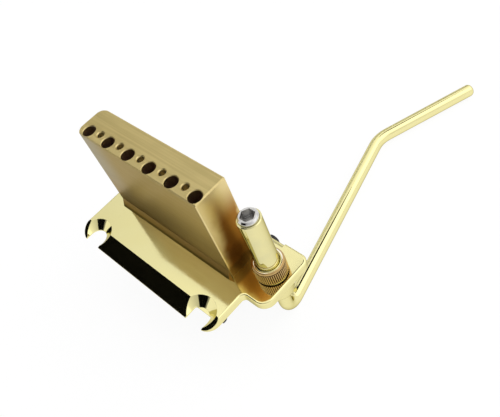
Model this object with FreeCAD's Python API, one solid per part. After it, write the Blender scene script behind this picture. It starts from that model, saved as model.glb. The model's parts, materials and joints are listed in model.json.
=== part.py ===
import FreeCAD, Part
import math
import os

from FreeCAD import Vector

# Two-point guitar tremolo bridge, lying with its sustain block pointing up.
# The origin is the middle of the pivot line, where both knife edges meet their studs.
# +X points to the treble side and the arm, +Y from the knife edges to the rear lip,
# and +Z along the sustain block, away from the strings. Millimetres and degrees.

# Strings and pivot studs
string_count = 6
string_pitch = 10.5
stud_spacing = 56.0

# Fits, and how far a cut runs past the face that it opens
running_gap = 0.05
seat_gap = 0.05
cutter_overrun = 2.0

# Base plate
plate_width = 71.0
plate_thickness = 3.0
plate_front = 6.2
plate_rear = 31.7
plate_edge_radius = 0.8
front_corner_radius = 4.6
rear_corner_radius = 1.6
bevel_setback = 0.3
knife_land = 0.4
notch_half_width = 3.7
notch_flare = 3.2
treble_notch_corner = 0.8
treble_notch_setback = 1.2

# Ear that carries the arm socket
ear_wall = 6.8
ear_front = 10.1
ear_corner_radius = 4.2
ear_inner_radius = 1.5
ear_rear_radius = 3.0

# Rear lip
lip_width = 69.4
lip_height = 8.2
lip_thickness = 2.6
lip_bend_radius = 2.4
lip_edge_radius = 0.6

# Sustain block
block_bass_margin = 4.65
block_treble_margin = 2.65
block_thickness = 12.2
block_height = 36.9
block_front = 12.5
block_bass_corner_radius = 3.0
block_treble_corner_radius = 0.5
block_edge_chamfer = 0.4
block_foot_reach = 1.3
block_foot_height = 3.5
string_row_setback = 2.6
string_bore_radius = 2.3
string_bore_depth = 26.0
string_bore_chamfer = 0.25
string_hole_radius = 1.3
spring_row_setback = 3.6
spring_hole_radius = 1.2
spring_hole_depth = 6.0
spring_hole_chamfer = 0.35

# Screws that hold the block
block_screw_radius = 2.0
block_screw_length = 14.0
block_screw_setback = 7.4
block_screw_head_radius = 3.8
block_screw_socket = 2.5
block_screw_socket_depth = 1.4

# Arm socket
socket_gap = 9.2
socket_setback = 11.3
sleeve_radius = 3.85
sleeve_bore_radius = 3.3
sleeve_height = 28.1
sleeve_edge_chamfer = 0.25
sleeve_flange_radius = 5.2
sleeve_flange_thickness = 1.5
bush_flange_radius = 4.0
bush_flange_thickness = 0.8
thrust_pad_thickness = 1.5
tension_screw_length = 6.0
tension_screw_stand_out = 1.3
tension_screw_chamfer = 0.5
tension_screw_socket = 4.2
tension_screw_socket_depth = 3.0

# Knurled collar
collar_radius = 5.1
collar_height = 6.5
collar_chamfer = 0.6
collar_countersink = 0.6
collar_foot_chamfer = 0.3
flute_count = 60
flute_depth = 0.28

# Tremolo arm
arm_radius = 2.4
arm_drop = 20.8
arm_elbow_radius = 5.5
arm_reach = 80.6
arm_heading = 14.5
arm_bend_radius = 12.0
arm_tip_length = 43.0
arm_tip_heading = -22.1
arm_tip_flat = 0.8

# Saddles
saddle_side_gap = 0.4
saddle_front = 1.0
saddle_length = 19.2
saddle_roof_gap = 0.16
saddle_sheet = 0.9
saddle_crest_rise = 1.8
saddle_crest_length = 1.6
saddle_crest_slope = 1.4
saddle_crest_round = 0.7
saddle_heel_inside = 0.6
saddle_nose_thickness = 1.6
saddle_nose_inside = 0.8
saddle_nose_depth = 4.6
saddle_heel_gap = 0.8
saddle_slot_wall = 0.5
saddle_slot_front = 0.8
saddle_slot_length = 11.0

# Saddle height screws
height_screw_radius = 1.5
height_screw_inset = 0.15
height_screw_setback = 5.6
height_screw_stand_out = 0.4
height_screw_socket = 1.5
height_screw_socket_depth = 1.8
height_screw_point = 0.5

# Intonation screws and their springs
intonation_rise = 3.2
intonation_screw_radius = 1.4
intonation_screw_length = 15.6
intonation_head_radius = 2.3
intonation_head_height = 2.0
intonation_head_round = 0.8
intonation_slot_width = 0.7
intonation_slot_depth = 1.0
spring_wire_radius = 0.3
spring_radius = 2.25
spring_turns = 5

# Levels and places that follow from the sizes above
plate_underside = plate_thickness - knife_land
plate_top = -knife_land
plate_side = plate_width / 2
outer_string = string_pitch * (string_count - 1) / 2
block_bass_reach = outer_string + block_bass_margin
block_treble_reach = outer_string + block_treble_margin
socket_x = block_treble_reach + socket_gap
ear_side = socket_x + ear_wall
socket_y = ear_front + socket_setback
string_row = block_front + string_row_setback
spring_row = block_front + spring_row_setback
block_screw_row = block_front + block_screw_setback
block_top = plate_underside + block_height
sleeve_top = plate_underside + sleeve_height
sleeve_foot = plate_top - sleeve_flange_thickness
arm_level = plate_top - arm_drop
saddle_width = string_pitch - saddle_side_gap
height_screw_spread = saddle_width - 2 * (height_screw_inset + height_screw_radius)
saddle_slot_half_width = height_screw_spread / 2 - height_screw_radius - saddle_slot_wall
saddle_rear = saddle_front + saddle_length
intonation_level = plate_top - intonation_rise
saddle_inside = intonation_level - intonation_screw_radius - saddle_roof_gap
saddle_top = saddle_inside - saddle_sheet
lip_inside = plate_rear - lip_thickness
pad_base = sleeve_top + tension_screw_stand_out - tension_screw_length - thrust_pad_thickness - seat_gap
string_places = [string_pitch * i - outer_string for i in range(string_count)]
spring_places = [x + string_pitch / 2 for x in string_places[:-1]]
block_screw_places = spring_places[::2]

# Two places or levels closer than this are the same
same_place = 1e-6


def rounded_path(corners, closed):
    """Edges along a list of (point, radius) corners, with a tangent arc at each rounded corner."""
    stretches = []
    for i, (point, radius) in enumerate(corners):
        is_end = not closed and i in (0, len(corners) - 1)
        if is_end or radius == 0:
            stretches.append((point, None, point))
            continue
        back = (corners[i - 1][0] - point).normalize()
        ahead = (corners[(i + 1) % len(corners)][0] - point).normalize()
        half_angle = back.getAngle(ahead) / 2
        inward = (back + ahead).normalize()
        reach = radius / math.tan(half_angle)
        middle = point + inward * (radius / math.sin(half_angle) - radius)
        stretches.append((point + back * reach, middle, point + ahead * reach))
    edges = []
    for i, (start, middle, end) in enumerate(stretches):
        if middle:
            edges.append(Part.Arc(start, middle, end).toShape())
        if closed or i < len(stretches) - 1:
            following = stretches[(i + 1) % len(stretches)][0]
            if end.distanceToPoint(following) > same_place:
                edges.append(Part.LineSegment(end, following).toShape())
    return edges


def prism(corners, direction):
    """A solid with a rounded outline, pushed along a direction."""
    outline = Part.Wire(rounded_path(corners, True))
    return Part.Face(outline).extrude(direction)


def flat_corners(points, level):
    """Corners of an outline that lies flat at a level, from (x, y, radius) points."""
    return [(Vector(x, y, level), radius) for x, y, radius in points]


def side_corners(points, x):
    """Corners of an outline that stands across X, from (y, z, radius) points."""
    return [(Vector(x, y, z), radius) for y, z, radius in points]


def upright(radius, x, y, low, high):
    """A cylinder along Z between two levels."""
    return Part.makeCylinder(radius, high - low, Vector(x, y, low))


def lengthwise(radius, x, z, near, far):
    """A cylinder along Y between two places."""
    return Part.makeCylinder(radius, far - near, Vector(x, near, z), Vector(0, 1, 0))


def upright_cone(low_radius, high_radius, x, y, low, high):
    """A cone along Z between two levels."""
    return Part.makeCone(low_radius, high_radius, high - low, Vector(x, y, low))


def hex_socket(across_flats, x, y, low, high):
    """A six-sided socket along Z between two levels."""
    corner_radius = across_flats / math.sqrt(3)
    corners = []
    for i in range(6):
        angle = math.radians(60 * i)
        place = Vector(x + corner_radius * math.cos(angle), y + corner_radius * math.sin(angle), low)
        corners.append((place, 0))
    return prism(corners, Vector(0, 0, high - low))


def edges_at(shape, level):
    """Edges of a shape that lie wholly at a level."""
    chosen = []
    for edge in shape.Edges:
        box = edge.BoundBox
        if max(abs(box.ZMin - level), abs(box.ZMax - level)) < same_place:
            chosen.append(edge)
    return chosen


def plate_blank():
    """The plate and its ear with rounded underside edges, before bevel, notches and holes."""
    ear_step = ear_side - plate_side
    room = min(1, ear_step / (ear_inner_radius + ear_corner_radius))
    outline = [
        (-plate_side, -plate_front, front_corner_radius),
        (plate_side, -plate_front, front_corner_radius),
        (plate_side, ear_front, ear_inner_radius * room),
        (ear_side, ear_front, ear_corner_radius * room),
        (ear_side, plate_rear, ear_rear_radius),
        (-plate_side, plate_rear, rear_corner_radius),
    ]
    blank = prism(flat_corners(outline, plate_top), Vector(0, 0, plate_thickness))
    return blank.makeFillet(plate_edge_radius, edges_at(blank, plate_underside))


def front_bevel():
    """The wedge taken off the front edge, from the plate's underside down to the knife land."""
    crest = Vector(-plate_side, -bevel_setback, plate_underside)
    toe = Vector(-plate_side, -plate_front, 0)
    overrun = (toe - crest).normalize() * cutter_overrun
    low = toe + overrun
    high = crest - overrun
    corners = [(low, 0), (high, 0), (Vector(low.x, low.y, high.z), 0)]
    return prism(corners, Vector(plate_width, 0, 0))


def pivot_notch(x, setback, corner_radius):
    """The cut for one stud: a slot open to the front, and a round flare at its end towards the underside."""
    slot = prism(flat_corners([
        (x - notch_half_width, -setback, corner_radius),
        (x + notch_half_width, -setback, corner_radius),
        (x + notch_half_width, -plate_front - cutter_overrun, 0),
        (x - notch_half_width, -plate_front - cutter_overrun, 0),
    ], plate_top), Vector(0, 0, plate_thickness))
    flare = upright_cone(
        notch_half_width, notch_half_width + notch_flare, x, -notch_half_width, 0, plate_underside)
    return slot.fuse(flare)


def rear_lip():
    """The lip bent towards the strings along the rear edge."""
    profile = [
        (plate_rear, plate_underside, lip_bend_radius),
        (plate_rear, plate_top - lip_height, lip_edge_radius),
        (lip_inside, plate_top - lip_height, lip_edge_radius),
        (lip_inside, plate_underside, 0),
    ]
    return prism(side_corners(profile, -lip_width / 2), Vector(lip_width, 0, 0))


def base_plate():
    """The plate with its bevel, pivot notches, rear lip and all its holes."""
    plate = plate_blank().cut(front_bevel())
    plate = plate.cut(pivot_notch(-stud_spacing / 2, 0, notch_half_width))
    plate = plate.cut(pivot_notch(stud_spacing / 2, treble_notch_setback, treble_notch_corner))
    rear_strip = Part.makeBox(
        lip_width, 2 * lip_thickness, plate_thickness, Vector(-lip_width / 2, lip_inside, plate_top))
    plate = plate.cut(rear_strip).fuse(rear_lip()).removeSplitter()
    holes = [upright(sleeve_radius + seat_gap, socket_x, socket_y, plate_top, plate_underside)]
    for x in string_places:
        holes.append(upright(string_hole_radius, x, string_row, plate_top, plate_underside))
        holes.append(lengthwise(
            intonation_screw_radius + running_gap, x, intonation_level, lip_inside, plate_rear))
    for x in block_screw_places:
        holes.append(upright(block_screw_radius + seat_gap, x, block_screw_row, plate_top, plate_underside))
        holes.append(countersink(x, seat_gap))
    return plate.cut(holes)


def countersink(x, gap):
    """The cone under a block screw's head, or its seat where a gap is added."""
    depth = block_screw_head_radius - block_screw_radius
    wide = block_screw_head_radius + gap
    narrow = block_screw_radius + gap
    return upright_cone(wide, narrow, x, block_screw_row, plate_top, plate_top + depth)


def mouth(radius, chamfer, x, y):
    """The chamfer at the mouth of a bore in the block's end face."""
    return upright_cone(radius, radius + chamfer, x, y, block_top - chamfer, block_top)


def block_foot():
    """The flare along the block's front, where it stands on the plate."""
    profile = [
        (block_front, plate_underside, 0),
        (block_front - block_foot_reach, plate_underside, 0),
        (block_front, plate_underside + block_foot_height, 0),
    ]
    bass_end = -block_bass_reach + block_bass_corner_radius
    treble_end = block_treble_reach - block_treble_corner_radius
    return prism(side_corners(profile, bass_end), Vector(treble_end - bass_end, 0, 0))


def sustain_block():
    """The block with its string bores, spring holes and screw holes, round at its bass end."""
    rear = block_front + block_thickness
    outline = [
        (-block_bass_reach, block_front, block_bass_corner_radius),
        (block_treble_reach, block_front, block_treble_corner_radius),
        (block_treble_reach, rear, block_treble_corner_radius),
        (-block_bass_reach, rear, block_bass_corner_radius),
    ]
    block = prism(flat_corners(outline, plate_underside), Vector(0, 0, block_height))
    block = block.makeChamfer(block_edge_chamfer, edges_at(block, block_top))
    block = block.fuse(block_foot())
    holes = []
    for x in string_places:
        holes.append(upright(string_bore_radius, x, string_row, block_top - string_bore_depth, block_top))
        holes.append(mouth(string_bore_radius, string_bore_chamfer, x, string_row))
        holes.append(upright(string_hole_radius, x, string_row, plate_underside, block_top))
    for x in spring_places:
        holes.append(upright(spring_hole_radius, x, spring_row, block_top - spring_hole_depth, block_top))
        holes.append(mouth(spring_hole_radius, spring_hole_chamfer, x, spring_row))
    for x in block_screw_places:
        holes.append(upright(
            block_screw_radius + seat_gap, x, block_screw_row, plate_underside,
            plate_top + block_screw_length + seat_gap))
    return block.cut(holes)


def block_screws():
    """The countersunk screws from the string side of the plate into the block."""
    screws = []
    for x in block_screw_places:
        shank = upright(block_screw_radius, x, block_screw_row, plate_top, plate_top + block_screw_length)
        socket = hex_socket(
            block_screw_socket, x, block_screw_row, plate_top, plate_top + block_screw_socket_depth)
        screws.append(shank.fuse(countersink(x, 0)).removeSplitter().cut(socket))
    return Part.makeCompound(screws)


def arm_sleeve():
    """The arm's socket: a tube up through the ear, with a flange against the string side."""
    tube = upright(sleeve_radius, socket_x, socket_y, sleeve_foot, sleeve_top)
    tube = tube.makeChamfer(sleeve_edge_chamfer, edges_at(tube, sleeve_top))
    flange = upright(sleeve_flange_radius, socket_x, socket_y, sleeve_foot, plate_top)
    bore = upright(sleeve_bore_radius, socket_x, socket_y, sleeve_foot, sleeve_top)
    return tube.fuse(flange).removeSplitter().cut(bore)


def arm_bush():
    """The flanged bearing that lines the sleeve from its open end up to the thrust pad."""
    low = sleeve_foot - bush_flange_thickness
    tube = upright(sleeve_bore_radius - seat_gap, socket_x, socket_y, low, pad_base - seat_gap)
    flange = upright(bush_flange_radius, socket_x, socket_y, low, sleeve_foot)
    bore = upright(arm_radius + running_gap, socket_x, socket_y, low, pad_base)
    return tube.fuse(flange).removeSplitter().cut(bore)


def thrust_pad():
    """The disc that the tension screw presses on the arm's end."""
    return upright(
        sleeve_bore_radius - seat_gap, socket_x, socket_y, pad_base, pad_base + thrust_pad_thickness)


def tension_screw():
    """The hex-socket screw in the end of the sleeve."""
    low = pad_base + thrust_pad_thickness + seat_gap
    high = low + tension_screw_length
    screw = upright(sleeve_bore_radius - running_gap, socket_x, socket_y, low, high)
    screw = screw.makeChamfer(tension_screw_chamfer, edges_at(screw, high))
    return screw.cut(hex_socket(
        tension_screw_socket, socket_x, socket_y, high - tension_screw_socket_depth, high))


def knurled_collar():
    """A ring with V flutes along its side, turned down to a chamfer at both rims."""
    low = plate_underside + seat_gap
    high = low + collar_height
    points = []
    for i in range(2 * flute_count):
        angle = math.pi * i / flute_count
        radius = collar_radius - flute_depth * (i % 2)
        place = Vector(socket_x + radius * math.cos(angle), socket_y + radius * math.sin(angle), low)
        points.append((place, 0))
    fluted = prism(points, Vector(0, 0, collar_height))
    turned = upright(collar_radius, socket_x, socket_y, low, high)
    turned = turned.makeChamfer(collar_chamfer, edges_at(turned, high))
    turned = turned.makeChamfer(collar_foot_chamfer, edges_at(turned, low))
    bore_radius = sleeve_radius + running_gap
    bore = upright(bore_radius, socket_x, socket_y, low, high)
    countersunk = upright_cone(
        bore_radius, bore_radius + collar_countersink, socket_x, socket_y, high - collar_countersink, high)
    return turned.common(fluted).cut([bore, countersunk])


def heading_vector(heading):
    """A unit vector in the plate's plane, turned from +Y by a heading towards the bass side."""
    return Vector(-math.sin(math.radians(heading)), math.cos(math.radians(heading)), 0)


def tremolo_arm():
    """A round rod: the shaft in the socket, an elbow, the long run and the bent tip."""
    head = Vector(socket_x, socket_y, pad_base - seat_gap)
    elbow = Vector(socket_x, socket_y, arm_level)
    bend = elbow + heading_vector(arm_heading) * arm_reach
    tip = bend + heading_vector(arm_tip_heading) * arm_tip_length
    corners = [(head, 0), (elbow, arm_elbow_radius), (bend, arm_bend_radius), (tip, 0)]
    route = Part.Wire(rounded_path(corners, False))
    section = Part.Wire(Part.makeCircle(arm_radius, head, Vector(0, 0, -1)))
    rod = Part.BRepOffsetAPI.MakePipeShell(route)
    rod.add(section)
    rod.build()
    rod.makeSolid()
    arm = Part.Solid(rod.shape())
    tip_rim = [e for e in arm.Edges if e.BoundBox.Center.distanceToPoint(tip) < arm_radius]
    return arm.makeFillet(arm_radius - arm_tip_flat, tip_rim)


def saddle(x):
    """A saddle: a crest over which the string breaks, with a nose under it, a slotted roof and a heel."""
    crest = saddle_top - saddle_crest_rise
    crest_rear = saddle_front + saddle_crest_length
    roof_front = crest_rear + saddle_crest_slope
    nose_rear = saddle_front + saddle_nose_thickness
    heel_front = saddle_rear - saddle_sheet
    profile = [
        (saddle_front, crest, saddle_crest_round),
        (crest_rear, crest, saddle_crest_round),
        (roof_front, saddle_top, saddle_crest_round),
        (saddle_rear, saddle_top, saddle_heel_inside + saddle_sheet),
        (saddle_rear, plate_top - saddle_heel_gap, 0),
        (heel_front, plate_top - saddle_heel_gap, 0),
        (heel_front, saddle_inside, saddle_heel_inside),
        (nose_rear, saddle_inside, saddle_nose_inside),
        (nose_rear, crest + saddle_nose_depth, 0),
        (saddle_front, crest + saddle_nose_depth, 0),
    ]
    body = prism(side_corners(profile, x - saddle_width / 2), Vector(saddle_width, 0, 0))
    slot_front = roof_front + saddle_slot_front
    slot_rear = slot_front + saddle_slot_length
    slot = prism(flat_corners([
        (x - saddle_slot_half_width, slot_front, saddle_slot_half_width),
        (x + saddle_slot_half_width, slot_front, saddle_slot_half_width),
        (x + saddle_slot_half_width, slot_rear, saddle_slot_half_width),
        (x - saddle_slot_half_width, slot_rear, saddle_slot_half_width),
    ], saddle_top), Vector(0, 0, saddle_sheet))
    cuts = [slot]
    cuts.append(lengthwise(
        intonation_screw_radius + running_gap, x, intonation_level,
        heel_front - saddle_heel_inside, saddle_rear))
    for side in (-1, 1):
        cuts.append(upright(
            height_screw_radius + running_gap, x + side * height_screw_spread / 2,
            saddle_front + height_screw_setback, saddle_top, saddle_inside))
    return body.cut(cuts)


def height_screw(x):
    """A set screw standing on the plate, with its socket at the string side."""
    y = saddle_front + height_screw_setback
    low = saddle_top - height_screw_stand_out
    high = plate_top - seat_gap
    screw = upright(height_screw_radius, x, y, low, high)
    screw = screw.makeChamfer(height_screw_point, edges_at(screw, high))
    return screw.cut(hex_socket(height_screw_socket, x, y, low, low + height_screw_socket_depth))


def intonation_screw(x):
    """A screw through the rear lip, with a slotted head behind it."""
    seat = plate_rear + seat_gap
    point = plate_rear - intonation_screw_length
    shank = lengthwise(intonation_screw_radius, x, intonation_level, point, seat)
    head = lengthwise(intonation_head_radius, x, intonation_level, seat, seat + intonation_head_height)
    back = seat + intonation_head_height
    rim = [e for e in head.Edges if abs(e.BoundBox.YMin - back) < same_place]
    head = head.makeFillet(intonation_head_round, rim)
    slot = Part.makeBox(
        2 * intonation_head_radius, intonation_slot_depth, intonation_slot_width,
        Vector(x - intonation_head_radius, back - intonation_slot_depth,
               intonation_level - intonation_slot_width / 2))
    return shank.fuse(head).removeSplitter().cut(slot)


def arc_from(start, direction, end):
    """The circular edge that leaves a start along a direction and runs to an end."""
    chord = end - start
    along = Vector(chord).normalize()
    sideways = direction - along * direction.dot(along)
    half_turn = along.getAngle(direction)
    rise = chord.Length / 2 * math.tan(half_turn / 2)
    middle = (start + end) * 0.5 + sideways.normalize() * rise
    return Part.Arc(start, middle, end).toShape()


def biarc(start, start_way, end, end_way):
    """Two tangent arcs between two places with given unit directions."""
    span = end - start
    ways = start_way + end_way
    bend = 2 * (1 - start_way.dot(end_way))
    along = span.dot(ways)
    arm = (math.sqrt(along * along + bend * span.dot(span)) - along) / bend
    joint = (start + start_way * arm + end - end_way * arm) * 0.5
    second = arc_from(end, end_way * -1, joint)
    return [arc_from(start, start_way, joint), second]


def intonation_spring(x):
    """A coil spring around the intonation screw, from the saddle's heel to the rear lip."""
    near = saddle_rear + spring_wire_radius + seat_gap
    far = lip_inside - spring_wire_radius - seat_gap
    advance = (far - near) / (2 * math.pi * spring_turns)

    def place(angle):
        return Vector(
            x + spring_radius * math.cos(angle), near + advance * angle,
            intonation_level + spring_radius * math.sin(angle))

    def way(angle):
        return Vector(-spring_radius * math.sin(angle), advance, spring_radius * math.cos(angle)).normalize()

    edges = []
    for i in range(2 * spring_turns):
        first = math.pi * i
        last = math.pi * (i + 1)
        edges += biarc(place(first), way(first), place(last), way(last))
    route = Part.Wire(Part.sortEdges(edges)[0])
    section = Part.Wire(Part.makeCircle(spring_wire_radius, place(0), way(0)))
    coil = Part.BRepOffsetAPI.MakePipeShell(route)
    coil.add(section)
    coil.build()
    coil.makeSolid()
    return Part.Solid(coil.shape()), route


def least_gap(route):
    """The least distance between a coil's neighbouring turns, measured on points along its route."""
    steps_per_turn = 24
    points = route.discretize(steps_per_turn * spring_turns + 1)
    gaps = []
    for i, here in enumerate(points):
        for there in points[i + steps_per_turn // 2:]:
            gaps.append(here.distanceToPoint(there))
    return min(gaps) - 2 * spring_wire_radius


def main():
    nodes = {
        "base_plate": base_plate(),
        "sustain_block": sustain_block(),
        "block_screws": block_screws(),
        "arm_sleeve": arm_sleeve(),
        "arm_bush": arm_bush(),
        "thrust_pad": thrust_pad(),
        "tension_screw": tension_screw(),
        "knurled_collar": knurled_collar(),
        "tremolo_arm": tremolo_arm(),
    }
    for number, x in enumerate(string_places, 1):
        nodes[f"saddle_{number}"] = saddle(x)
        nodes[f"height_screw_{number}_bass"] = height_screw(x - height_screw_spread / 2)
        nodes[f"height_screw_{number}_treble"] = height_screw(x + height_screw_spread / 2)
        nodes[f"intonation_screw_{number}"] = intonation_screw(x)
        nodes[f"intonation_spring_{number}"], route = intonation_spring(x)
        print(f"intonation_spring_{number} least gap to itself {least_gap(route):.2f} mm")
    os.makedirs("parts", exist_ok=True)
    for name, shape in nodes.items():
        shape.exportStep(f"parts/{name}.step")


main()
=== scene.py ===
import json
import math

import bmesh
import bpy
from mathutils import Matrix, Vector


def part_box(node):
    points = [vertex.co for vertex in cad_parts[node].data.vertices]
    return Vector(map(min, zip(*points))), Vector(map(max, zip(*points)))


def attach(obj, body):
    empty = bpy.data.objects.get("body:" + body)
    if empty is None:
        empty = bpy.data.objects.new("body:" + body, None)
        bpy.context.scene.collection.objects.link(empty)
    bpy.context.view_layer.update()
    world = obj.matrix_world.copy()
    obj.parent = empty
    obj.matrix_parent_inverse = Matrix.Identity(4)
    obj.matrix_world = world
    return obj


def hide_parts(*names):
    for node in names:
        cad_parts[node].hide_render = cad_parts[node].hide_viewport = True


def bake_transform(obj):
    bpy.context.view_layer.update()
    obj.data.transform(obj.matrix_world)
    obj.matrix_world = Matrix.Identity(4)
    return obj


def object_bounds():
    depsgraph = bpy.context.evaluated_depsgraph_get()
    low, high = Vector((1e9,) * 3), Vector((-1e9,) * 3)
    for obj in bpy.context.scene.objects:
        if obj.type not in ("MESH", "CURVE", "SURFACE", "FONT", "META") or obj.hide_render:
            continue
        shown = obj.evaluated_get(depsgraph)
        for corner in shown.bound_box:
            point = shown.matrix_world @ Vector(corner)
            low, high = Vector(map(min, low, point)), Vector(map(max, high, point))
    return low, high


# Two-point guitar tremolo bridge, lying with its sustain block pointing up. Metres, in the part's frame.
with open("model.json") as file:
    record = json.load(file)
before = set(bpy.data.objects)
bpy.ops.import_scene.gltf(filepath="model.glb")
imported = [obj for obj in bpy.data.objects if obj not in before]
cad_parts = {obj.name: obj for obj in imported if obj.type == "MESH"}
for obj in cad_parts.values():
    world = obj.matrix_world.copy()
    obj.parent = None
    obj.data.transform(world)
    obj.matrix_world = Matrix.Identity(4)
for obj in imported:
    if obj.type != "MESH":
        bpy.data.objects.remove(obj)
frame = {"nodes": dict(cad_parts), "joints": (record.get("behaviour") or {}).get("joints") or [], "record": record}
cad_low, cad_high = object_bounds()
nodes = frame["nodes"]
joints = {joint["name"]: joint for joint in frame["joints"]}
string_numbers = range(1, 7)
string_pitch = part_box("saddle_2")[0].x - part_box("saddle_1")[0].x

# Directions
to_treble = (1, 0, 0)
to_rear = (0, 1, 0)
to_front = (0, -1, 0)
upward = (0, 0, 1)

# Colours, linear
gold_colour = (0.88, 0.81, 0.41, 1)
gold_warm_colour = (0.87, 0.79, 0.38, 1)
# Painted highlight: paler gold along sharp edges
gold_edge_highlight_colour = (0.92, 0.86, 0.52, 1)
gold_glance_colour = (0.5, 0.47, 0.36, 1)
# Painted shade: a darker copy of the gold for the arm sleeve, standing in for the shaded floor it mirrors
shaded_sleeve_gold_colour = (0.73, 0.68, 0.375, 1)
brass_colour = (0.62, 0.5, 0.22, 1)
brass_dull_colour = (0.58, 0.47, 0.205, 1)
brass_streak_colour = (0.46, 0.36, 0.145, 1)
# Painted highlight along the block's edges
brass_edge_highlight_colour = (0.68, 0.57, 0.3, 1)
# Painted shade on the block's front, with a painted sheen at the bass end and a painted contact shadow along the
# plate
painted_front_shade_colour = (0.27, 0.195, 0.075, 1)
painted_foot_shade_colour = (0.26, 0.163, 0.062, 1)
painted_contact_shadow_colour = (0.06, 0.035, 0.004, 1)
painted_front_sheen_colour = (0.3, 0.295, 0.27, 1)
# Painted sheen and painted brown reflections on the block's end face, darker at its foot
painted_end_sheen_colour = (0.82, 0.67, 0.33, 1)
brass_glance_colour = (0.88, 0.8, 0.62, 1)
painted_end_reflection_colour = (0.37, 0.17, 0.035, 1)
painted_end_foot_reflection_colour = (0.19, 0.1, 0.026, 1)
# Painted shade deep in the string bores
painted_bore_shade_colour = (0.62, 0.42, 0.36, 1)
# Painted highlight in the spring holes
painted_spring_hole_highlight_colour = (0.86, 0.76, 0.5, 1)
collar_colour = (0.55, 0.36, 0.14, 1)
collar_groove_colour = (0.02, 0.009, 0.003, 1)
# Painted highlight in the collar's countersunk mouth
painted_mouth_highlight_colour = (0.95, 0.91, 0.76, 1)
steel_colour = (0.7, 0.69, 0.67, 1)
steel_dull_colour = (0.58, 0.57, 0.55, 1)
# Painted highlight along the steel's edges
steel_edge_highlight_colour = (0.82, 0.81, 0.79, 1)
# Painted shade in the steel's sockets
painted_socket_shade_colour = (0.11, 0.108, 0.105, 1)
oxide_colour = (0.035, 0.034, 0.036, 1)
oxide_dull_colour = (0.06, 0.057, 0.056, 1)
oxide_edge_colour = (0.2, 0.19, 0.18, 1)
nylon_colour = (0.78, 0.74, 0.64, 1)
nylon_shade_colour = (0.7, 0.65, 0.54, 1)
floor_colour = (0.95, 0.95, 0.95, 1)
flag_colour = (0.003, 0.003, 0.003, 1)
grey_flag_colour = (0.75, 0.75, 0.7, 1)
white = (1, 1, 1, 1)

# All finishes: limits are where a share starts and where it is full
edge_softness = 0.00012
edge_samples = 4
edge_limits = (0.99, 0.85)
recess_samples = 6
noise_detail = 3.0
cloud_limits = (0.35, 0.65)
first_colour_socket = 6
second_colour_socket = 7
mixed_colour_socket = 2

# Gold plating: gloss is the least and the most roughness
gold_cloud_size = 0.012
gold_cloud_share = 0.6
gold_edge_highlight_share = 0.6
gold_level_limits = (0.9, 0.98)
gold_gloss_size = 0.004
gold_gloss = (0.035, 0.06)
gold_relief_size = 0.0006
gold_relief_depth = 0.4e-6
plate_dullness = 0.04

# Brass of the block, brushed along its length
brass_cloud_size = 0.008
brass_grain_size = 0.0002
brass_grain_stretch = (60, 1, 1)
brass_grain_limits = (0.3, 0.7)
brass_gloss = (0.3, 0.4)
brass_relief_depth = 3e-6
brass_streak_size = 0.0007
brass_streak_share = 0.5
brass_edge_highlight_share = 0.35
brass_front_share = 0.85
brass_front_lean = 0.07
brass_end_limits = (0.6, 0.95)
brass_front_limits = (0.55, 0.9)

# Painted reflection, sheen, shade and shadow on the block: limits are shares of its length, of its depth or of its
# height from the top
end_reflection_wobble_size = 0.012
end_reflection_wobble = 0.08
end_reflection_slant = 0.35
end_reflection_front_limits = (0.3, 0.6)
end_reflection_rear_limits = (1.02, 0.88)
end_reflection_rear_share = 0.3
end_reflection_top_limits = (0.04, 0.4)
end_foot_reflection_limits = (0.84, 0.9)
# Where the front's painted sheen, painted shade and painted contact shadow fall
front_sheen_limits = (0.33, 0.06)
shade_limits = (0.3, 1.0)
contact_shadow_limits = (0.955, 0.978)

# Holes of the block, told apart by their distance from the strings in string pitches, for their painted shade and
# painted highlights
string_offset = 0.5
hole_depth_limits = (0.5, 0.4)
hole_reach = 0.005
hole_limits = (0.6, 0.15)
bore_limits = (0.27, 0.23)
spring_hole_limits = (0.27, 0.31)

# Collar brass: shares of the flutes' depth for the crest, and of the radius for the mouth
crest_shares = (0.65, 0.3)
mouth_shares = (0.9, 0.87)
mouth_polish = 0.12
collar_cloud_size = 0.002
collar_cloud_share = 0.15
collar_gloss_size = 0.001
collar_gloss = (0.2, 0.26)
collar_relief_size = 0.0003
collar_relief_depth = 0.4e-6

# Nickel, black oxide and nylon
steel_cloud_size = 0.0015
steel_gloss_size = 0.0008
steel_gloss = (0.1, 0.18)
steel_relief_size = 0.0002
steel_relief_depth = 0.5e-6
steel_upright_limits = (0.6, 0.2)
# Reach and limits of the painted shade in sockets
socket_shade_reach = 0.003
socket_shade_limits = (0.8, 0.5)
oxide_cloud_size = 0.0012
oxide_wear_size = 0.0006
oxide_gloss_size = 0.0006
oxide_gloss = (0.28, 0.4)
oxide_relief_size = 0.00015
oxide_relief_depth = 2e-6
nylon_cloud_size = 0.002
nylon_gloss_size = 0.0008
nylon_gloss = (0.4, 0.55)
nylon_relief_size = 0.0003
nylon_relief_depth = 4e-6

# Springs
spring_wire_radius = 0.0003
spring_turns = 5
spring_end_turns = 1
spring_end_pitch = 2.1 * spring_wire_radius
wire_sides = 12
steps_per_turn = 40

# Screws
thread_pitch = 0.0005
thread_depth = 0.00022
thread_rows = 8
thread_sides = 30
shank_radius = 0.0014
head_height = 0.002
head_round = 0.0008
head_slot_width = 0.0007
head_slot_depth = 0.001
head_slot_length = 20 * head_slot_width
socket_across_flats = 0.0015
socket_depth = 0.0018
screw_point = 0.0005

# Collar
collar_low, collar_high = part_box("knurled_collar")
collar_proud = 0.0003
collar_radius = (collar_high.x - collar_low.x) / 2 + collar_proud
collar_bore = 0.0039
collar_mouth = 0.0006
collar_rim = 0.0009
collar_rim_round = 0.00075
flute_count = 50
flute_depth = 0.00032
columns_per_flute = 8
collar_chamfer = 2 * flute_depth
collar_rim_inset = flute_depth / 4

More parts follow.
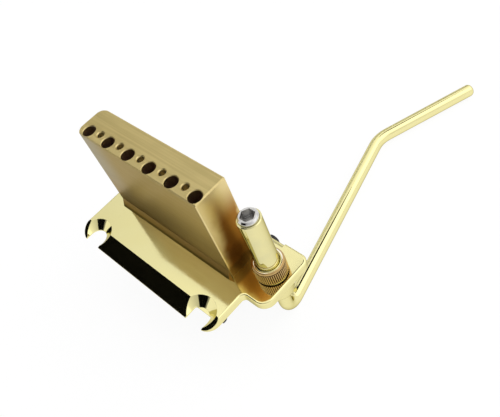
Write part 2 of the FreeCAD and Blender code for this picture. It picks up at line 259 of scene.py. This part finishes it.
# Foot of the arm socket
foot_length = 0.0051
foot_round = 0.0008
foot_bore = 0.0026
foot_gap = 0.00005
foot_sides = 96

# All meshes
round_steps = 6
weld_distance = 1e-6
sharp_angle = math.radians(38)

# Cards in the studio: name, colour, azimuths and tilts from upright in degrees, distance
cards = (
    ("dark_flag", flag_colour, (198, 288), (44, 65), 0.6),
    ("narrow_flag", flag_colour, (212, 228), (30, 44), 0.6),
    ("far_flag", flag_colour, (100, 147), (14, 34), 3.0),
    ("grey_flag", grey_flag_colour, (115, 170), (55, 88), 2.5),
)
card_columns = 24

# Floor and light: each glow of the sky has its direction, its strength and its limits
floor_radius = 3.0
floor_sides = 96
floor_gap = 0.0002
floor_white_share = 0.92
wall_height = 1.2
key_place = Vector((0.7, 0.75, 0.9))
key_size = 1.4
key_power = 7.4
sky_level = 0.28
sky_slope = Vector((0.1, 0.4, 0.84))
sky_least = 0.3
sky_most = 1.1
sky_glows = (
    (Vector((0.51, 0.55, 0.66)), 0.4, (0.72, 0.95)),
    (Vector((-0.49, -0.14, 0.86)), 0.6, (0.94, 0.99)),
)

# View
camera_place = Vector((0.14137, -0.03268, 0.16693))
camera_target = Vector((0.01249, 0.03688, 0))
camera_roll = math.radians(-23.65)
camera_lens = 46.36
camera_sensor = 36
camera_near = 0.01


class Graph:
    """The nodes of a surface or of the sky, joined one by one."""

    def __init__(self, tree):
        self.tree = tree

    def add(self, kind):
        """A new node."""
        return self.tree.nodes.new(kind)

    def feed(self, socket, value):
        """Sets a socket to a plain value, or links it to another node's output."""
        if isinstance(value, bpy.types.NodeSocket):
            self.tree.links.new(value, socket)
        else:
            socket.default_value = value

    def math(self, operation, first, second=0.0):
        """A sum of two values, kept between 0 and 1."""
        made = self.add("ShaderNodeMath")
        made.operation = operation
        made.use_clamp = True
        self.feed(made.inputs[0], first)
        self.feed(made.inputs[1], second)
        return made.outputs["Value"]

    def signed(self, operation, first, second):
        """A sum that may go below 0 or above 1."""
        made = self.math(operation, first, second)
        made.node.use_clamp = False
        return made

    def both(self, first, second):
        """The share where two shares hold together."""
        return self.math("MULTIPLY", first, second)

    def vector(self, operation, first, second=(0, 0, 0)):
        """A sum of two vectors, which gives a vector, a length or a measure of one along the other."""
        made = self.add("ShaderNodeVectorMath")
        made.operation = operation
        self.feed(made.inputs[0], first)
        self.feed(made.inputs[1], second)
        return made.outputs["Value" if operation in ("LENGTH", "DOT_PRODUCT") else "Vector"]

    def measure(self, place, way):
        """How far a vector reaches one way."""
        return self.vector("DOT_PRODUCT", place, way)

    def spread(self, value, start, end, low=0.0, high=1.0):
        """A value that goes smoothly from low to high while another goes from start to end."""
        made = self.add("ShaderNodeMapRange")
        made.interpolation_type = "SMOOTHSTEP"
        self.feed(made.inputs["Value"], value)
        for name, limit in (("From Min", start), ("From Max", end), ("To Min", low), ("To Max", high)):
            made.inputs[name].default_value = limit
        return made.outputs["Result"]


class Finish(Graph):
    """A surface with its colour, gloss and relief from noise and from the piece's form."""

    def __init__(self, name, metallic):
        self.material = bpy.data.materials.new(name)
        self.material.use_nodes = True
        super().__init__(self.material.node_tree)
        self.shader = self.tree.nodes["Principled BSDF"]
        self.shader.inputs["Metallic"].default_value = metallic
        spots = self.add("ShaderNodeTexCoord")
        self.place = spots.outputs["Object"]
        self.normal = spots.outputs["Normal"]
        bevel = self.add("ShaderNodeBevel")
        bevel.samples = edge_samples
        bevel.inputs["Radius"].default_value = edge_softness
        self.softened = bevel.outputs["Normal"]
        self.facing = self.softened

    def noise(self, size, stretch=(1, 1, 1)):
        """Noise with features of about this size in metres, drawn out along each axis by its stretch."""
        made = self.add("ShaderNodeTexNoise")
        self.feed(made.inputs["Vector"], self.vector("DIVIDE", self.place, stretch))
        made.inputs["Scale"].default_value = 1 / size
        made.inputs["Detail"].default_value = noise_detail
        return made.outputs["Fac"]

    def clouds(self, size, low=0.0, high=1.0, stretch=(1, 1, 1)):
        """Noise spread over a range of values."""
        return self.spread(self.noise(size, stretch), *cloud_limits, low, high)

    def edges(self):
        """A share of 1 along sharp outer edges."""
        geometry = self.add("ShaderNodeNewGeometry")
        straight = self.measure(self.softened, geometry.outputs["Normal"])
        return self.spread(straight, *edge_limits)

    def recesses(self, reach, limits):
        """A share of 1 deep in holes, grooves and sockets narrower than the reach."""
        sheltered = self.add("ShaderNodeAmbientOcclusion")
        sheltered.samples = recess_samples
        sheltered.inputs["Distance"].default_value = reach
        return self.spread(sheltered.outputs["AO"], *limits)

    def level(self):
        """A share of 1 on level faces and of 0 on upright ones."""
        return self.math("ABSOLUTE", self.measure(self.normal, upward))

    def blend(self, share, first, second):
        """A colour between two colours."""
        mix = self.add("ShaderNodeMix")
        mix.data_type = "RGBA"
        self.feed(mix.inputs["Factor"], share)
        self.feed(mix.inputs[first_colour_socket], first)
        self.feed(mix.inputs[second_colour_socket], second)
        return mix.outputs[mixed_colour_socket]

    def triple(self, value):
        """One value in all three places of a vector."""
        made = self.add("ShaderNodeCombineXYZ")
        for place in ("X", "Y", "Z"):
            self.feed(made.inputs[place], value)
        return made.outputs["Vector"]

    def lean(self, share, way):
        """Turns the surface's shading a little to one way, as brushing from one side does."""
        turned_by = self.vector("MULTIPLY", way, self.triple(share))
        self.facing = self.vector("NORMALIZE", self.vector("ADD", self.facing, turned_by))

    def finish(self, colour, roughness, relief, depth):
        """Joins colour, gloss and a relief of a depth in metres to the shader."""
        self.feed(self.shader.inputs["Base Color"], colour)
        self.feed(self.shader.inputs["Roughness"], roughness)
        bump = self.add("ShaderNodeBump")
        self.feed(bump.inputs["Height"], relief)
        bump.inputs["Distance"].default_value = depth
        self.feed(bump.inputs["Normal"], self.facing)
        self.feed(self.shader.inputs["Normal"], bump.outputs["Normal"])
        return self.material


def gold_finish(name, colour, level_dullness=0.0):
    """Polished gold plating, faintly cloudy and paler at its edges with a painted highlight. Level faces may be
    duller.
    """
    made = Finish(name, 1)
    made.shader.inputs["Specular Tint"].default_value = gold_glance_colour
    colour = made.blend(made.clouds(gold_cloud_size, 0, gold_cloud_share), colour, gold_warm_colour)
    # Painted highlight: sharp edges are painted paler gold
    colour = made.blend(made.both(made.edges(), gold_edge_highlight_share), colour, gold_edge_highlight_colour)
    dullness = made.spread(made.level(), *gold_level_limits, 0, level_dullness)
    roughness = made.math("ADD", made.clouds(gold_gloss_size, *gold_gloss), dullness)
    return made.finish(colour, roughness, made.noise(gold_relief_size), gold_relief_depth)


def painted_end_reflection(made, back, down):
    """The share of a painted brown reflection on the block's end, a band which slants to the front towards the
    foot.
    """
    back = made.math("ADD", back, made.clouds(end_reflection_wobble_size, -end_reflection_wobble, end_reflection_wobble))
    slanted = made.signed("ADD", back, made.both(down, end_reflection_slant))
    past_front = made.spread(slanted, *end_reflection_front_limits)
    before_rear = made.spread(back, *end_reflection_rear_limits, end_reflection_rear_share, 1)
    return made.both(made.both(past_front, before_rear), made.spread(down, *end_reflection_top_limits))


def painted_front_light(made, along, down):
    """The block's front in painted light: painted shade over it, a painted sheen that makes it pale at the bass
    end, painted shade that makes it browner downwards and a painted shadow that makes it dark along the plate.
    """
    # Painted shade darkens the front, with a painted sheen at the bass end
    tone = made.blend(made.spread(along, *front_sheen_limits), painted_front_shade_colour, painted_front_sheen_colour)
    # Painted shade, browner downwards
    tone = made.blend(made.spread(down, *shade_limits), tone, painted_foot_shade_colour)
    # Painted contact shadow along the plate
    return made.blend(made.spread(down, *contact_shadow_limits), tone, painted_contact_shadow_colour)


def brass_finish():
    """Satin brass, brushed along the block, with painted light: a painted pale sheen and a painted brown
    reflection on the end face beside the arm, painted shade and sheen on the front, painted highlights on its
    edges, painted shade in the string bores and painted highlights in the spring holes.
    """
    made = Finish("satin_brass", 1)
    made.shader.inputs["Specular Tint"].default_value = brass_glance_colour
    low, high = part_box("sustain_block")
    inside = made.vector("DIVIDE", made.vector("SUBTRACT", made.place, low), high - low)
    along = made.measure(inside, to_treble)
    back = made.measure(inside, to_rear)
    down = made.math("SUBTRACT", 1.0, made.measure(inside, upward))
    on_end = made.spread(made.measure(made.normal, to_treble), *brass_end_limits)
    on_front = made.spread(made.measure(made.normal, to_front), *brass_front_limits)

    colour = made.blend(made.clouds(brass_cloud_size), brass_colour, brass_dull_colour)
    streaks = made.clouds(brass_streak_size, 0, brass_streak_share, brass_grain_stretch)
    colour = made.blend(streaks, colour, brass_streak_colour)
    # Painted sheen on the end face
    colour = made.blend(on_end, colour, painted_end_sheen_colour)
    # Painted brown reflection on the end face, darker at its foot
    colour = made.blend(made.both(painted_end_reflection(made, back, down), on_end), colour, painted_end_reflection_colour)
    painted_end_foot = made.both(on_end, made.spread(down, *end_foot_reflection_limits))
    colour = made.blend(painted_end_foot, colour, painted_end_foot_reflection_colour)
    # The front is painted with shade, a sheen and a contact shadow
    colour = made.blend(made.both(on_front, brass_front_share), colour, painted_front_light(made, along, down))
    # Painted highlight along the block's edges
    colour = made.blend(made.both(made.edges(), brass_edge_highlight_share), colour, brass_edge_highlight_colour)

    strings = made.measure(made.place, (1 / string_pitch, 0, 0))
    off_string = made.signed("SUBTRACT", made.math("FRACT", strings), string_offset)
    off_string = made.math("ABSOLUTE", off_string)
    holes = made.both(made.spread(down, *hole_depth_limits), made.recesses(hole_reach, hole_limits))
    # Painted shade deep in the string bores
    colour = made.blend(made.both(made.spread(off_string, *bore_limits), holes), colour, painted_bore_shade_colour)
    # Painted highlight in the spring holes
    spring_holes = made.both(made.spread(off_string, *spring_hole_limits), holes)
    colour = made.blend(spring_holes, colour, painted_spring_hole_highlight_colour)

    made.lean(on_front, (0, 0, brass_front_lean))
    grain = made.noise(brass_grain_size, brass_grain_stretch)
    gloss = made.spread(grain, *brass_grain_limits, *brass_gloss)
    return made.finish(colour, gloss, grain, brass_relief_depth)


def collar_finish():
    """Antique brass, dark in the knurl and bright in the countersunk mouth with a painted highlight."""
    made = Finish("antique_brass", 1)
    axis = Vector(joints["collar_turn"]["pos_m"])
    across = made.vector("MULTIPLY", made.vector("SUBTRACT", made.place, axis), (1, 1, 0))
    out = made.vector("LENGTH", across)
    crest = made.spread(out, *[collar_radius - share * flute_depth for share in crest_shares])
    knurl_end = collar_high.z - collar_rim
    rise = made.measure(made.place, upward)
    on_rim = made.spread(rise, knurl_end - flute_depth / 2, knurl_end)
    mouth = made.spread(out, *[share * collar_radius for share in mouth_shares])
    colour = made.blend(made.math("MAXIMUM", crest, on_rim), collar_groove_colour, collar_colour)
    clouds = made.clouds(collar_cloud_size, 0, collar_cloud_share)
    colour = made.blend(clouds, colour, collar_groove_colour)
    # Painted highlight in the countersunk mouth
    colour = made.blend(mouth, colour, painted_mouth_highlight_colour)
    gloss = made.clouds(collar_gloss_size, *collar_gloss)
    gloss = made.math("SUBTRACT", gloss, made.both(mouth, mouth_polish))
    return made.finish(colour, gloss, made.noise(collar_relief_size), collar_relief_depth)


def steel_finish():
    """Bright nickel plating, paler at its edges with a painted highlight, and dark in its sockets with painted
    shade.
    """
    made = Finish("nickel_steel", 1)
    colour = made.blend(made.clouds(steel_cloud_size), steel_colour, steel_dull_colour)
    # Painted highlight along sharp edges
    colour = made.blend(made.edges(), colour, steel_edge_highlight_colour)
    upright = made.spread(made.level(), *steel_upright_limits)
    # Painted shade: the sockets' walls are painted dark
    socket = made.both(upright, made.recesses(socket_shade_reach, socket_shade_limits))
    colour = made.blend(socket, colour, painted_socket_shade_colour)
    gloss = made.clouds(steel_gloss_size, *steel_gloss)
    return made.finish(colour, gloss, made.noise(steel_relief_size), steel_relief_depth)


def oxide_finish():
    """Black oxide, worn to bare steel along its edges."""
    made = Finish("black_oxide", 1)
    colour = made.blend(made.clouds(oxide_cloud_size), oxide_colour, oxide_dull_colour)
    worn = made.both(made.edges(), made.clouds(oxide_wear_size))
    colour = made.blend(worn, colour, oxide_edge_colour)
    gloss = made.clouds(oxide_gloss_size, *oxide_gloss)
    return made.finish(colour, gloss, made.noise(oxide_relief_size), oxide_relief_depth)


def nylon_finish():
    """Natural nylon, slightly mottled."""
    made = Finish("nylon", 0)
    colour = made.blend(made.clouds(nylon_cloud_size), nylon_colour, nylon_shade_colour)
    gloss = made.clouds(nylon_gloss_size, *nylon_gloss)
    return made.finish(colour, gloss, made.noise(nylon_relief_size), nylon_relief_depth)


def dress(node, material):
    """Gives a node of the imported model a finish."""
    slots = nodes[node].data.materials
    slots.clear()
    slots.append(material)


def place_in_scene(name, data):
    """An object in the scene with a mesh, a light or a camera as its data."""
    made = bpy.data.objects.new(name, data)
    bpy.context.scene.collection.objects.link(made)
    return made


def add_mesh(name, points, faces, material):
    """An object from points and faces, smooth except at its sharp edges."""
    mesh = bpy.data.meshes.new(name)
    mesh.from_pydata(points, [], faces)
    mesh.validate()
    shape = bmesh.new()
    shape.from_mesh(mesh)
    bmesh.ops.recalc_face_normals(shape, faces=shape.faces)
    shape.to_mesh(mesh)
    shape.free()
    mesh.shade_smooth()
    mesh.set_sharp_from_angle(angle=sharp_angle)
    mesh.materials.append(material)
    return place_in_scene(name, mesh)


def weld(mesh):
    """Joins the points of a mesh that meet."""
    shape = bmesh.new()
    shape.from_mesh(mesh)
    bmesh.ops.remove_doubles(shape, verts=shape.verts, dist=weld_distance)
    bmesh.ops.recalc_face_normals(shape, faces=shape.faces)
    shape.to_mesh(mesh)
    shape.free()


def bands(rows, sides):
    """Faces between rows of points that follow each other."""
    faces = []
    for row in range(rows - 1):
        for side in range(sides):
            here = row * sides + side
            beside = row * sides + (side + 1) % sides
            faces.append((here, beside, beside + sides, here + sides))
    return faces


def closed(points, faces, sides):
    """Closes both ends of a form made of rows."""
    last = len(points) - sides
    return points, faces + [tuple(range(sides)), tuple(range(last, last + sides))]


def tube(route, radius):
    """Points and faces of a round wire, closed at its ends, along steps of (place, outward, onward)."""
    points = []
    for place, outward, onward in route:
        for side in range(wire_sides):
            angle = 2 * math.pi * side / wire_sides
            points.append(place + (outward * math.cos(angle) + onward * math.sin(angle)) * radius)
    return closed(points, bands(len(route), wire_sides), wire_sides)


def turned(rows, sides):
    """Points and faces of a form turned about the Z axis, from rows of (level, radius at an angle)."""
    points = []
    for level, radius_at in rows:
        for side in range(sides):
            angle = 2 * math.pi * side / sides
            radius = radius_at(angle)
            points.append(Vector((radius * math.cos(angle), radius * math.sin(angle), level)))
    return points, bands(len(rows), sides)


def ring(radius):
    """A round row."""
    return lambda angle: radius


def hexagon(across_flats):
    """A six-sided row."""
    sector = math.pi / 3
    return lambda angle: across_flats / 2 / math.cos(angle % sector - sector / 2)


def flutes(radius):
    """A knurled row."""
    return lambda angle: radius - flute_depth * (1 - abs(math.sin(flute_count * angle / 2)))


def quarter_round(size):
    """Steps of a rounded edge, each as its distance inward and upward from the round's start."""
    steps = []
    for step in range(round_steps + 1):
        angle = math.pi / 2 * step / round_steps
        steps.append((size * (1 - math.cos(angle)), size * math.sin(angle)))
    return steps


def thread(start, end, radius):
    """Rows of a screw thread that runs out at both ends."""
    count = round((end - start) / thread_pitch * thread_rows)
    rows = []
    for row in range(count + 1):
        level = start + (end - start) * row / count
        depth = thread_depth * min(1, (level - start) / thread_pitch, (end - level) / thread_pitch)

        def radius_at(angle, level=level, depth=depth):
            phase = (level / thread_pitch - angle / (2 * math.pi)) % 1
            return radius - depth * abs(2 * phase - 1)
        rows.append((level, radius_at))
    return rows


def spring(number, material):
    """A coil spring with closed end turns, between the saddle's heel and the rear lip."""
    node = f"intonation_spring_{number}"
    low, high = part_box(node)
    centre = (low + high) / 2
    coil_radius = (high.x - low.x) / 2 - spring_wire_radius
    near = low.y + spring_wire_radius
    far = high.y - spring_wire_radius
    end_length = spring_end_pitch * spring_end_turns
    open_length = far - near - 2 * end_length
    turns = spring_turns + 2 * spring_end_turns
    route = []
    for step in range(turns * steps_per_turn + 1):
        turn = step / steps_per_turn
        if turn < spring_end_turns:
            y = near + spring_end_pitch * turn
        elif turn > turns - spring_end_turns:
            y = far - spring_end_pitch * (turns - turn)
        else:
            y = near + end_length + open_length * (turn - spring_end_turns) / spring_turns
        angle = 2 * math.pi * turn
        outward = Vector((math.cos(angle), 0, math.sin(angle)))
        place = Vector((centre.x, y, centre.z)) + outward * coil_radius
        route.append((place, outward, Vector(to_rear)))
    made = add_mesh(f"spring_{number}", *tube(route, spring_wire_radius), material)
    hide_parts(node)
    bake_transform(made)


def height_screw(node, material):
    """A threaded set screw with a hex socket towards the strings and a blunt point on the plate."""
    low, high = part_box(node)
    centre = (low + high) / 2
    radius = (high.x - low.x) / 2
    length = high.z - low.z
    rows = [(socket_depth, hexagon(socket_across_flats)), (0, hexagon(socket_across_flats))]
    rows += [(0, ring(radius - thread_depth))]
    rows += thread(thread_depth, length - screw_point, radius)
    rows += [(length, ring(radius - screw_point))]
    points, faces = closed(*turned(rows, thread_sides), thread_sides)
    place = Vector((centre.x, centre.y, low.z))
    made = add_mesh(f"threaded_{node}", [place + point for point in points], faces, material)
    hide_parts(node)
    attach(made, node)


def cut_slot(made, place):
    """Cuts a driver slot across a screw's head, whose outer face has its middle at a place."""
    cutter_mesh = bpy.data.meshes.new("cutter")
    shape = bmesh.new()
    bmesh.ops.create_cube(shape, size=1)
    size = (head_slot_length, 2 * head_slot_depth, head_slot_width)
    bmesh.ops.scale(shape, vec=size, verts=shape.verts)
    bmesh.ops.translate(shape, vec=place, verts=shape.verts)
    shape.to_mesh(cutter_mesh)
    shape.free()
    cutter = place_in_scene("cutter", cutter_mesh)
    cut = made.modifiers.new("slot", "BOOLEAN")
    cut.operation = "DIFFERENCE"
    cut.object = cutter
    seen = made.evaluated_get(bpy.context.evaluated_depsgraph_get())
    result = bpy.data.meshes.new_from_object(seen)
    result.set_sharp_from_angle(angle=sharp_angle)
    made.modifiers.clear()
    made.data = result
    bpy.data.objects.remove(cutter)


def intonation_screw(number, material):
    """A threaded screw with a rounded, slotted head behind the rear lip."""
    node = f"intonation_screw_{number}"
    low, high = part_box(node)
    centre = (low + high) / 2
    head_radius = (high.x - low.x) / 2
    length = high.y - low.y
    seat = length - head_height
    rows = [(0, ring(shank_radius - thread_depth))]
    rows += thread(thread_depth, seat - thread_depth, shank_radius)
    rows += [(seat, ring(shank_radius)), (seat, ring(head_radius))]
    for inset, rise in quarter_round(head_round):
        rows += [(length - head_round + rise, ring(head_radius - inset))]
    points, faces = closed(*turned(rows, thread_sides), thread_sides)
    start = Vector((centre.x, low.y, centre.z))
    placed = [start + Vector((point.x, point.z, -point.y)) for point in points]
    made = add_mesh(f"threaded_{node}", placed, faces, material)
    cut_slot(made, Vector((centre.x, high.y, centre.z)))
    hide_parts(node)
    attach(made, node)


def collar(material):
    """The locking collar: a straight knurl under a smooth rim, with a countersunk mouth."""
    centre = (collar_low + collar_high) / 2
    length = collar_high.z - collar_low.z
    root = collar_radius - flute_depth
    rim = collar_radius - collar_rim_inset
    rim_start = length - collar_rim
    knurl_end = rim_start - flute_depth
    knurl = flutes(collar_radius)
    rows = [(0, ring(collar_bore)), (0, ring(root - collar_chamfer)), (collar_chamfer, ring(root))]
    rows += [(collar_chamfer, knurl), (knurl_end, knurl), (knurl_end, ring(root))]
    rows += [(rim_start, ring(root)), (rim_start, ring(rim))]
    for inset, rise in quarter_round(collar_rim_round):
        rows += [(length - collar_rim_round + rise, ring(rim - inset))]
    for inset, rise in reversed(quarter_round(collar_mouth)):
        rows += [(length - collar_mouth + rise, ring(collar_bore + inset))]
    rows += [(0, ring(collar_bore))]
    points, faces = turned(rows, flute_count * columns_per_flute)
    place = Vector((centre.x, centre.y, collar_low.z))
    made = add_mesh("collar", [place + point for point in points], faces, material)
    weld(made.data)
    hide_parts("knurled_collar")
    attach(made, "collar")


def socket_foot(material):
    """The arm socket's round foot under the ear, around the bush's flange."""
    low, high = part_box("arm_sleeve")
    bush_low, bush_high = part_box("arm_bush")
    centre = (low + high) / 2
    radius = (high.x - low.x) / 2
    bush = (bush_high.x - bush_low.x) / 2 + foot_gap
    ledge = bush_low.z - low.z - foot_gap
    rows = [(0, ring(bush)), (0, ring(radius))]
    for inset, rise in quarter_round(foot_round):
        rows += [(foot_round - rise - foot_length, ring(radius - inset))]
    rows += [(-foot_length, ring(foot_bore)), (ledge, ring(foot_bore))]
    rows += [(ledge, ring(bush)), (0, ring(bush))]
    points, faces = turned(rows, foot_sides)
    place = Vector((centre.x, centre.y, low.z))
    made = add_mesh("socket_foot", [place + point for point in points], faces, material)
    weld(made.data)
    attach(made, "base")


def dress_all():
    """Gives every node its finish, and makes the pieces that stand for the finer nodes."""
    finishes = {
        "gold_plate": gold_finish("polished_gold", gold_colour),
        "block_brass": brass_finish(),
        "collar_brass": collar_finish(),
        "steel": steel_finish(),
        "dark_steel": oxide_finish(),
        "nylon": nylon_finish(),
    }
    for subpart in frame["record"]["subparts"]:
        dress(subpart["node"], finishes[subpart["material_slot"]])
    # The sleeve gets the darker copy of the gold, which is painted shade
    dress("arm_sleeve", gold_finish("sleeve_gold", shaded_sleeve_gold_colour))
    dress("base_plate", gold_finish("plate_gold", gold_colour, plate_dullness))
    collar(finishes["collar_brass"])
    socket_foot(finishes["gold_plate"])
    for number in string_numbers:
        spring(number, finishes["steel"])
        intonation_screw(number, finishes["dark_steel"])
        for side in ("bass", "treble"):
            height_screw(f"height_screw_{number}_{side}", finishes["dark_steel"])


def stage_mesh(name, points, faces, material):
    """A piece of the studio."""
    mesh = bpy.data.meshes.new(name)
    mesh.from_pydata(points, [], faces)
    mesh.materials.append(material)
    made = place_in_scene(name, mesh)
    return made


def seen_plainly(graph):
    """A share of 1 on rays from the camera, and on mirrored and clear ones."""
    path = graph.add("ShaderNodeLightPath")
    total = path.outputs["Is Camera Ray"]
    for name in ("Is Glossy Ray", "Is Transmission Ray"):
        total = graph.math("MAXIMUM", total, path.outputs[name])
    return total


def floor():
    """A pale floor just under the arm with a wall round it, which read white and keep a faint shadow."""
    material = bpy.data.materials.new("pale_floor")
    material.use_nodes = True
    graph = Graph(material.node_tree)
    graph.tree.nodes.clear()
    diffuse = graph.add("ShaderNodeBsdfDiffuse")
    diffuse.inputs["Color"].default_value = floor_colour
    glow = graph.add("ShaderNodeEmission")
    glow.inputs["Color"].default_value = white
    glow.inputs["Strength"].default_value = 1.0
    mix = graph.add("ShaderNodeMixShader")
    graph.feed(mix.inputs["Fac"], graph.both(seen_plainly(graph), floor_white_share))
    graph.feed(mix.inputs[1], diffuse.outputs["BSDF"])
    graph.feed(mix.inputs[2], glow.outputs["Emission"])
    output = graph.add("ShaderNodeOutputMaterial")
    graph.feed(output.inputs["Surface"], mix.outputs["Shader"])
    level = cad_low.z - floor_gap
    rows = [(level, ring(floor_radius)), (level + wall_height, ring(floor_radius))]
    points, faces = turned(rows, floor_sides)
    stage_mesh("floor", points, faces + [tuple(range(floor_sides))], material)


def curved_card(name, colour, azimuths, tilts, distance):
    """A matt card bent round the part at one distance, seen in the polish alone."""
    material = bpy.data.materials.new(name)
    material.use_nodes = True
    shader = material.node_tree.nodes["Principled BSDF"]
    shader.inputs["Base Color"].default_value = colour
    shader.inputs["Roughness"].default_value = 1
    shader.inputs["Specular IOR Level"].default_value = 0
    points = []
    for column in range(card_columns + 1):
        azimuth = math.radians(azimuths[0] + (azimuths[1] - azimuths[0]) * column / card_columns)
        for tilt in tilts:
            flat = distance * math.sin(math.radians(tilt))
            rise = distance * math.cos(math.radians(tilt))
            points.append((flat * math.cos(azimuth), flat * math.sin(azimuth), rise))
    faces = [(first, first + 1, first + 3, first + 2) for first in range(0, 2 * card_columns, 2)]
    card = stage_mesh(name, points, faces, material)
    card.visible_camera = False
    card.visible_shadow = False
    card.visible_diffuse = False


def surround():
    """Soft white light from all round, stronger from above and behind, with two brighter patches."""
    world = bpy.data.worlds.new("studio")
    bpy.context.scene.world = world
    world.use_nodes = True
    graph = Graph(world.node_tree)
    background = graph.tree.nodes["Background"]
    background.inputs["Color"].default_value = white
    way = graph.add("ShaderNodeTexCoord").outputs["Generated"]
    total = graph.signed("ADD", graph.measure(way, sky_slope), sky_level)
    total = graph.signed("MAXIMUM", total, sky_least)
    total = graph.signed("MINIMUM", total, sky_most)
    for towards, strength, limits in sky_glows:
        glow = graph.spread(graph.measure(way, towards), *limits, 0, strength)
        total = graph.signed("ADD", total, glow)
    graph.feed(background.inputs["Strength"], total)


def look_at(place, target):
    """Stands at a place and looks to a target."""
    turn = (target - place).to_track_quat("-Z", "Y")
    return Matrix.Translation(place) @ turn.to_matrix().to_4x4()


def key_light():
    """A large soft light from behind on the treble side."""
    data = bpy.data.lights.new("key_light", "AREA")
    data.size = key_size
    data.energy = key_power
    made = place_in_scene("key_light", data)
    made.matrix_world = look_at(key_place, camera_target)
    made.visible_glossy = False


def camera():
    """The photograph's view: from above, in front of the treble side, rolled."""
    data = bpy.data.cameras.new("camera")
    data.sensor_width = camera_sensor
    data.lens = camera_lens
    data.clip_start = camera_near
    made = place_in_scene("camera", data)
    made.matrix_world = look_at(camera_place, camera_target) @ Matrix.Rotation(camera_roll, 4, "Z")
    bpy.context.scene.camera = made


dress_all()
floor()
for card in cards:
    curved_card(*card)
surround()
key_light()
camera()
bpy.context.scene.view_settings.view_transform = "Standard"
